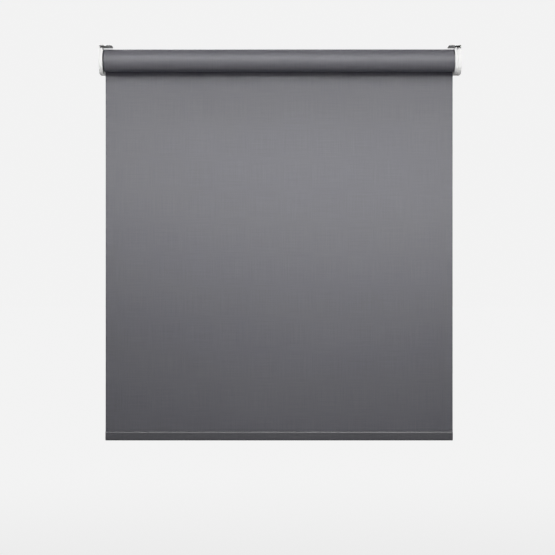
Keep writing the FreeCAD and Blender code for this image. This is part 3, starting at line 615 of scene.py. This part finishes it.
def pocket_outline():
    """The pocket's middle line, front side first, from the top centre all the way round."""
    r = HEM_R - CLOTH_T / 2
    h = HEM_STRAIGHT / 2
    points = []
    for i in range(POCKET_ARC + 1):
        a = math.pi / 2 * i / POCKET_ARC
        points.append((-r * math.sin(a), h + r * math.cos(a)))
    for k in range(1, POCKET_SIDE):
        bulge = POCKET_BULGE * math.sin(math.pi * k / POCKET_SIDE)
        points.append((-r - bulge, h * (1 - 2 * k / POCKET_SIDE)))
    for i in range(2 * POCKET_ARC + 1):
        a = math.pi / 2 + math.pi * i / (2 * POCKET_ARC)
        points.append((-r * math.sin(a), -h + r * math.cos(a)))
    for k in range(1, POCKET_SIDE):
        bulge = POCKET_BULGE * math.sin(math.pi * k / POCKET_SIDE)
        points.append((r + bulge, -h * (1 - 2 * k / POCKET_SIDE)))
    for i in range(POCKET_ARC):
        a = math.pi / 2 * (POCKET_ARC - i) / POCKET_ARC
        points.append((r * math.sin(a), h + r * math.cos(a)))
    points.append((LIP_Y, h + r + LIP_FOOT))
    points.append((LIP_Y, h + r + LIP_HEIGHT))
    return points


def make_hem_cloth():
    """Pocket round the bar, with the welded lip of its cut edge behind the sheet."""
    outline = pocket_outline()
    lengths = [0.0]
    for a, b in zip(outline, outline[1:]):
        lengths.append(lengths[-1] + math.dist(a, b))

    def place(x, index):
        y, z = outline[index]
        return (x, SHEET_Y + y, HEM_MID + z)

    # The pocket uses the darkened cloth, whose darker tone is painted shade
    piece = cloth_piece("hem_cloth", even(CLOTH_X0, CLOTH_X1, COLUMNS), list(range(len(outline))),
                        place, lambda index: SHEET_DROP + lengths[index], CLOTH_T, PRESSED_CLOTH_PAINTED_SHADE)
    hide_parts("hem_pocket")
    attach(piece, "hem")


make_wound_cloth()
make_hanging_cloth()
make_hem_cloth()


# ---- spring of the idler pin ---------------------------------------------------------------
WIRE_R = 0.5 * MM
COILS = 8.0
COIL_STEPS = 28               # points round one coil
WIRE_SIDES = 10


def make_pin_spring():
    """Wound wire in the idler plug, with closed end coils."""
    mean_r = (SPRING_HIGH.z - SPRING_LOW.z) / 2 - WIRE_R
    x0 = SPRING_LOW.x + WIRE_R
    x1 = SPRING_HIGH.x - WIRE_R
    closed = 1.0
    count = int(COILS * COIL_STEPS)
    centres = []
    for i in range(count + 1):
        t = COILS * i / count
        share = min(1.0, max(0.0, (t - closed) / (COILS - 2 * closed)))
        lead = 2 * WIRE_R * (min(t, closed) / closed - 0.5)
        tail = 2 * WIRE_R * max(0.0, (t - COILS + closed) / closed)
        x = x0 + WIRE_R + lead * 0.5 + (x1 - x0 - 3 * WIRE_R) * share + tail * 0.5
        a = 2 * math.pi * t
        centres.append(Vector((x, mean_r * math.cos(a), AXIS_Z + mean_r * math.sin(a))))
    verts = []
    for i, centre in enumerate(centres):
        a = 2 * math.pi * COILS * i / count
        outward = Vector((0, math.cos(a), math.sin(a)))
        for k in range(WIRE_SIDES):
            b = 2 * math.pi * k / WIRE_SIDES
            verts.append(centre + WIRE_R * (math.cos(b) * outward + math.sin(b) * Vector((1, 0, 0))))
    faces = []
    for i in range(count):
        for k in range(WIRE_SIDES):
            this = i * WIRE_SIDES + k
            following = i * WIRE_SIDES + (k + 1) % WIRE_SIDES
            faces.append((this, following, following + WIRE_SIDES, this + WIRE_SIDES))
    faces.append(tuple(range(WIRE_SIDES)))
    faces.append(tuple(reversed(range(count * WIRE_SIDES, (count + 1) * WIRE_SIDES))))
    piece = new_piece("pin_spring", verts, faces, SLOT_MATERIALS["bright_steel"])
    settle(piece)
    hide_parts("idler_spring")
    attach(piece, "roller")
    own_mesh(piece)


make_pin_spring()
